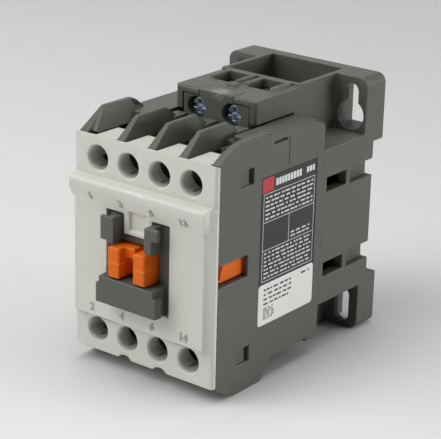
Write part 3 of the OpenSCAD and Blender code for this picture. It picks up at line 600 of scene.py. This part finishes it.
# Thin strokes, painted a little deeper in tone than the cover: painted shade of the relief.
number_shade_grey = moulded_plastic("light grey polycarbonate, raised numbers", "A9AAA3",
                              roughness=0.55, grain_height=0.03, mottle=0.05, edge_sheen_and_wear=0.3)
bm = bmesh.new()
for x, out, z, turn, text in numbers:
    curve = bpy.data.curves.new("number", "FONT")
    curve.body, curve.align_x, curve.align_y = text, "CENTER", "CENTER"
    curve.size, curve.extrude = NUMBER_HEIGHT / DIGIT_SHARE * MM, NUMBER_RELIEF * MM
    curve.offset = NUMBER_BOLDER * MM
    letter = bpy.data.objects.new("number", curve)
    mesh = bpy.data.meshes.new_from_object(letter)
    mesh.transform(Matrix.Translation(Vector((x, COVER_Y + out, z)) * MM) @ turn)
    bm.from_mesh(mesh)
    bpy.data.objects.remove(letter)
    bpy.data.meshes.remove(mesh)
bmesh.ops.remove_doubles(bm, verts=bm.verts, dist=DIGIT_WELD_MM * MM)
finished_piece("terminal_numbers", bm, "housing", "light_grey_plastic", number_shade_grey)
print("numbers moulded:", len(numbers))


# %% [markdown]
# ## Parting line on the carrier
#
# The two halves of the carrier's mould meet half way up its prongs and leave a fine ridge there, which shows
# as a pale line. A thin plate with rounded corners round each prong, a hair larger than the prong, draws it
# in a paler orange, a painted highlight along the ridge.

# %% Parting lines
def rounded_plate(bm, lowest, highest, thin, corner, segments):
    """Adds a plate between two corners in mm, thin along one axis, and rounds its corners."""
    lowest, highest = Vector(lowest), Vector(highest)
    size = (highest - lowest) * MM
    place = Matrix.Translation((lowest + highest) / 2 * MM) @ Matrix.Diagonal((*size, 1))
    own = {e for v in bmesh.ops.create_cube(bm, size=1, matrix=place)["verts"] for e in v.link_edges}
    corners = [e for e in bm.edges if e in own
               and abs(e.verts[0].co[thin] - e.verts[1].co[thin]) > size[thin] / 2]
    bmesh.ops.bevel(bm, geom=corners, offset=corner * MM, segments=segments, profile=0.5,
                    affect="EDGES", material=-1)


# A hairline painted paler than the carrier: a painted highlight.
parting_highlight_orange = moulded_plastic("orange polyamide, parting line", "F0A25C",
                              roughness=0.45, grain_height=0.02, mottle=0.04, edge_sheen_and_wear=0.1, specular=0.2)
PRONG_IN, PRONG_OUT, PRONG_TIP, PRONG_CORNER = 2.2, 5.8, -6.3, 0.45
LINE_Z, LINE_HEIGHT, LINE_DEPTH, LINE_PROUD = 32.4, 0.13, 4.6, 0.015
X_AXIS, Z_AXIS = 0, 2
bm = bmesh.new()
for side in (-1, 1):
    ends = sorted((side * (PRONG_IN - LINE_PROUD), side * (PRONG_OUT + LINE_PROUD)))
    front = COVER_Y + PRONG_TIP - LINE_PROUD
    lowest = (ends[0], front, LINE_Z - LINE_HEIGHT / 2)
    highest = (ends[1], front + LINE_DEPTH, LINE_Z + LINE_HEIGHT / 2)
    rounded_plate(bm, lowest, highest, Z_AXIS, PRONG_CORNER, segments=3)
line_faces = len(bm.faces)
finished_piece("carrier_parting_lines", bm, "carrier", "orange_plastic", parting_highlight_orange)
print("parting line faces:", line_faces)


# %% [markdown]
# ## Label
#
# The rating label is a printed film with a white field stuck over its foot. Both are thin plates with
# rounded corners. Rows of short bars, a thin frame and a red block lie on them. They could be painted by
# nodes, but flat bars just in front of the film stay sharp at any distance.

# %% Label inks
SPECKLE_MM = 0.3


def printed_film(name, colour, roughness):
    """Film or ink with a faint speckle."""
    material, tree, shader = new_material(name)
    place = add(tree, "ShaderNodeTexCoord").outputs["Object"]
    speckle = add(tree, "ShaderNodeTexNoise", {"Vector": place},
                  {"Scale": 1 / (SPECKLE_MM * MM), "Detail": 2}).outputs["Fac"]
    tint = add(tree, "ShaderNodeMix", {"Factor": speckle},
               {"A": shade(colour, 0.92), "B": shade(colour, 1.06)}, data_type="RGBA")
    shine = add(tree, "ShaderNodeMapRange", {"Value": speckle},
                {"To Min": roughness - 0.05, "To Max": roughness + 0.05})
    tree.links.new(tint.outputs["Result"], shader.inputs["Base Color"])
    tree.links.new(shine.outputs["Result"], shader.inputs["Roughness"])
    return material


# Smooth films with a soft highlight. The white and black inks are a touch flatter than the film.
film_black = printed_film("black printed polyester film", "1C1D1D", 0.45)
film_white = printed_film("white printed polyester film", "E6E6E3", 0.45)
ink_white = printed_film("white screen ink", "DCDDDC", 0.5)
ink_black = printed_film("black screen ink", "3A3B3D", 0.5)
ink_red = printed_film("red screen ink", "B52A38", 0.45)
inks = (film_black, film_white, ink_white, ink_black, ink_red)
print("films and inks:", *[m.name for m in inks], sep="\n  ")


# %% Label film
low, high = node_box("rating_label")
LABEL_FRONT, LABEL_FOOT = low.y, low.z
FIELD_TOP, FIELD_WIDER, FIELD_LOWER, FIELD_PROUD = 10.8, 0.15, 0.1, 0.006
FILM_CORNER, FIELD_CORNER = 0.5, 0.9


def film_sheet(name, lowest, highest, corner, material):
    """A thin sheet with rounded corners between two corners in mm."""
    bm = bmesh.new()
    rounded_plate(bm, lowest, highest, X_AXIS, corner, segments=6)
    return finished_piece(name, bm, "housing", "label_film", material)


film = film_sheet("label_film", low, high, FILM_CORNER, film_black)
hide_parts("rating_label")
field_low = (low.x, low.y - FIELD_WIDER, low.z - FIELD_LOWER)
field_high = (high.x + FIELD_PROUD, high.y + FIELD_WIDER, low.z + FIELD_TOP)
film_sheet("label_white_field", field_low, field_high, FIELD_CORNER, film_white)
print("label in mm:", [round(side, 2) for side in high - low])


# %% Label print
PRINT_PROUD = 0.012
SHORTEST, LONGEST, SMALL_GAP, WIDE_GAP = 0.6, 2.0, 0.25, 0.9
PRINT_X = high.x + PRINT_PROUD
WHITE, DARK, RED = 0, 1, 2
# A flat sheet in X and Y, turned so that its X runs along Y, its Y runs up and it faces +X.
FACE_SIDE = Matrix(((0, 0, 1, 0), (1, 0, 0, 0), (0, 1, 0, 0), (0, 0, 0, 1)))
bm = bmesh.new()


def bar(across, wide, above, tall, ink):
    """A printed bar: its place and size in mm from the label's lower front corner."""
    middle = Vector((PRINT_X, LABEL_FRONT + across + wide / 2, LABEL_FOOT + above + tall / 2))
    place = Matrix.Translation(middle * MM) @ FACE_SIDE @ Matrix.Diagonal((wide * MM, tall * MM, 1, 1))
    sheet = bmesh.ops.create_grid(bm, x_segments=1, y_segments=1, size=0.5, matrix=place)["verts"]
    for face in {f for v in sheet for f in v.link_faces}:
        face.material_index = ink


def print_rows(start, end, top, rows, spacing, tall, ink, seed):
    """Rows of short bars of uneven length, always the same for a seed."""
    chance = random.Random(seed)
    for row in range(rows):
        across = start
        while across < end - SHORTEST:
            wide = min(chance.uniform(SHORTEST, LONGEST), end - across)
            bar(across, wide, top - row * spacing - tall, tall, ink)
            across += wide + chance.uniform(SMALL_GAP, WIDE_GAP)


# The label's layout, in millimetres from its lower front corner.
bar(0.15, 4.6, 34.8, 3.55, RED)
for i in range(9):
    bar(5.6 + 1.2 * i, 0.95, 35.6, 1.8, WHITE)
for i in range(3):
    bar(18.3 + 1.2 * i, 0.95, 35.8, 1.5, WHITE)
for above in (34.2, 26.9, 19.6, 11.5):
    bar(0.8, 21.2, above, 0.16, WHITE)
for across in (0.8, 21.84):
    bar(across, 0.16, 11.5, 22.86, WHITE)
bar(11.4, 0.16, 19.6, 7.3, WHITE)
print_rows(1.6, 21.2, top=33.5, rows=6, spacing=1.08, tall=0.42, ink=WHITE, seed=3)
print_rows(12.4, 21.2, top=21.9, rows=2, spacing=1.0, tall=0.4, ink=WHITE, seed=5)
print_rows(1.6, 21.2, top=19.0, rows=7, spacing=1.05, tall=0.4, ink=WHITE, seed=8)
print_rows(2.0, 13.5, top=9.4, rows=4, spacing=1.25, tall=0.5, ink=DARK, seed=4)
print_rows(17.5, 21.5, top=9.6, rows=1, spacing=1, tall=0.5, ink=DARK, seed=2)
print_rows(2.0, 6.4, top=4.4, rows=6, spacing=0.55, tall=0.3, ink=DARK, seed=9)
print_bars = len(bm.faces)
finished_piece("label_print", bm, "housing", "label_film", ink_white, ink_black, ink_red)
print("printed bars:", print_bars)


# %% [markdown]
# ## Stage and light
#
# The photograph shows a seamless pale grey sweep under large soft lights. The floor is one sheet that
# curves up behind the object, so that no horizon shows. Its paper is painted a little darker towards the
# back, a painted shade. Far in front and to the sides, where little of the lamps' light falls, the paper
# and the world are pale only to rays that the eye follows. So a view from behind has the same pale
# ground, and next to no light is added to the object.

# %% Paper of the sweep
PALE, PALE_SEEN, WORLD_LIGHT = "E8E9EA", 0.62, 0.02
PAPER_NEAR, PAPER_BACK_SHADE = "E1E1E0", "C5C6C6"
# Where the painted shade darkens the paper towards the back, and where the lamps' light ends in front and
# aside, in metres.
BACK_FROM, BACK_TO = -0.2, 0.42
FRONT_FROM, FRONT_TO = -0.6, -1.8
SIDE_FROM, SIDE_TO = 0.9, 2.2


def seen_ray(tree):
    """One for a ray that the eye follows, straight or by a mirror or glass, and zero for light."""
    ray = add(tree, "ShaderNodeLightPath").outputs
    seen = add(tree, "ShaderNodeMath", {0: ray["Is Camera Ray"], 1: ray["Is Glossy Ray"]},
               operation="MAXIMUM")
    seen = add(tree, "ShaderNodeMath", {0: seen.outputs["Value"], 1: ray["Is Transmission Ray"]},
               operation="MAXIMUM")
    return seen.outputs["Value"]


# Matt and even, with no highlight of its own.
backdrop, tree, shader = new_material("pale grey paper sweep")
place = add(tree, "ShaderNodeTexCoord").outputs["Object"]
across = add(tree, "ShaderNodeSeparateXYZ", {"Vector": place}).outputs
# Painted shade: the paper's colour turns darker towards the back.
back_shade = add(tree, "ShaderNodeMapRange", {"Value": across["Y"]},
           {"From Min": BACK_FROM, "From Max": BACK_TO}, interpolation_type="SMOOTHSTEP")
tone = add(tree, "ShaderNodeMix", {"Factor": back_shade.outputs["Result"]},
           {"A": linear(PAPER_NEAR), "B": linear(PAPER_BACK_SHADE)}, data_type="RGBA")
tree.links.new(tone.outputs["Result"], shader.inputs["Base Color"])
shader.inputs["Roughness"].default_value = 0.9

before = add(tree, "ShaderNodeMapRange", {"Value": across["Y"]},
             {"From Min": FRONT_FROM, "From Max": FRONT_TO}, interpolation_type="SMOOTHSTEP")
aside = add(tree, "ShaderNodeMath", {0: across["X"]}, operation="ABSOLUTE")
aside = add(tree, "ShaderNodeMapRange", {"Value": aside.outputs["Value"]},
            {"From Min": SIDE_FROM, "From Max": SIDE_TO}, interpolation_type="SMOOTHSTEP")
far = add(tree, "ShaderNodeMath", {0: before.outputs["Result"], 1: aside.outputs["Result"]},
          operation="MAXIMUM")
glow = add(tree, "ShaderNodeMath", {0: far.outputs["Value"], 1: seen_ray(tree)}, operation="MULTIPLY")
glow = add(tree, "ShaderNodeMath", {0: glow.outputs["Value"]}, {1: PALE_SEEN}, operation="MULTIPLY")
tree.links.new(glow.outputs["Value"], shader.inputs["Emission Strength"])
shader.inputs["Emission Color"].default_value = linear(PALE)
print("paper:", backdrop.name)


# %% Floor
# Sizes in metres. One point is spun into the curve, and the floor and wall go on from its two ends.
HALF_WIDTH, FRONT_Y, WALL_Y, CURVE, WALL_TOP = 4, -4, 1.2, 0.8, 4
bm = bmesh.new()
foot = bm.verts.new((-HALF_WIDTH, WALL_Y, 0))
head = bmesh.ops.spin(
    bm, geom=[foot], cent=(-HALF_WIDTH, WALL_Y, CURVE), axis=(1, 0, 0), angle=math.pi / 2, steps=12,
)["geom_last"][0]
bm.edges.new((bm.verts.new((-HALF_WIDTH, FRONT_Y, 0)), foot))
bm.edges.new((head, bm.verts.new((-HALF_WIDTH, WALL_Y + CURVE, WALL_TOP))))
sides = bmesh.ops.extrude_edge_only(bm, edges=bm.edges[:])["geom"]
moved = [v for v in sides if isinstance(v, bmesh.types.BMVert)]
bmesh.ops.translate(bm, vec=(2 * HALF_WIDTH, 0, 0), verts=moved)
bmesh.ops.recalc_face_normals(bm, faces=bm.faces)
for face in bm.faces:
    face.smooth = True
mesh = bpy.data.meshes.new("sweep")
bm.to_mesh(mesh)
bm.free()
mesh.materials.append(backdrop)
sweep = bpy.data.objects.new("sweep", mesh)
bpy.context.scene.collection.objects.link(sweep)
print("sweep faces:", len(mesh.polygons))


# %% [markdown]
# Seven round lamps stand around the object and face its middle. Renders with one lamp at a time showed what
# each of them gives, and the powers were chosen so that their sum comes near the tones of the photograph.
# The strongest are overhead and high in front, and a low one on the right lights the side with the label.

# %% Lights
MIDDLE = Vector((0, 0, 0.035))
# For each lamp its place, its diameter and its power, in metres and watts.
LAMPS = {
    "overhead": ((0, 0.1, 1.4), 1.2, 10),
    "front high": ((-0.4, -0.8, 1.25), 1.0, 9),
    "front left": ((-0.6, -1.25, 0.8), 1.2, 3),
    "left": ((-1.1, -0.9, 0.75), 1.2, 7),
    "right low": ((1.3, 0.6, 0.2), 0.6, 8.5),
    "right back": ((1.0, 1.0, 0.8), 1.1, 5),
    "left back": ((-0.8, 1.05, 0.5), 0.8, 0.7),
}
for name, (place, size, power) in LAMPS.items():
    data = bpy.data.lights.new(name, "AREA")
    data.shape, data.size, data.energy = "DISK", size, power
    lamp = bpy.data.objects.new(name, data)
    lamp.location = place
    lamp.rotation_mode = "QUATERNION"
    lamp.rotation_quaternion = (MIDDLE - Vector(place)).to_track_quat("-Z", "Y")
    bpy.context.scene.collection.objects.link(lamp)
print("lamps:", len(LAMPS))


# %% World
world = bpy.data.worlds.new("studio")
world.use_nodes = True
sky = world.node_tree.nodes["Background"]
sky.inputs["Color"].default_value = linear(PALE)
strength = add(world.node_tree, "ShaderNodeMapRange", {"Value": seen_ray(world.node_tree)},
               {"To Min": WORLD_LIGHT, "To Max": PALE_SEEN})
world.node_tree.links.new(strength.outputs["Result"], sky.inputs["Strength"])
bpy.context.scene.world = world
bpy.context.scene.view_settings.view_transform = "Standard"
print("world:", world.name)
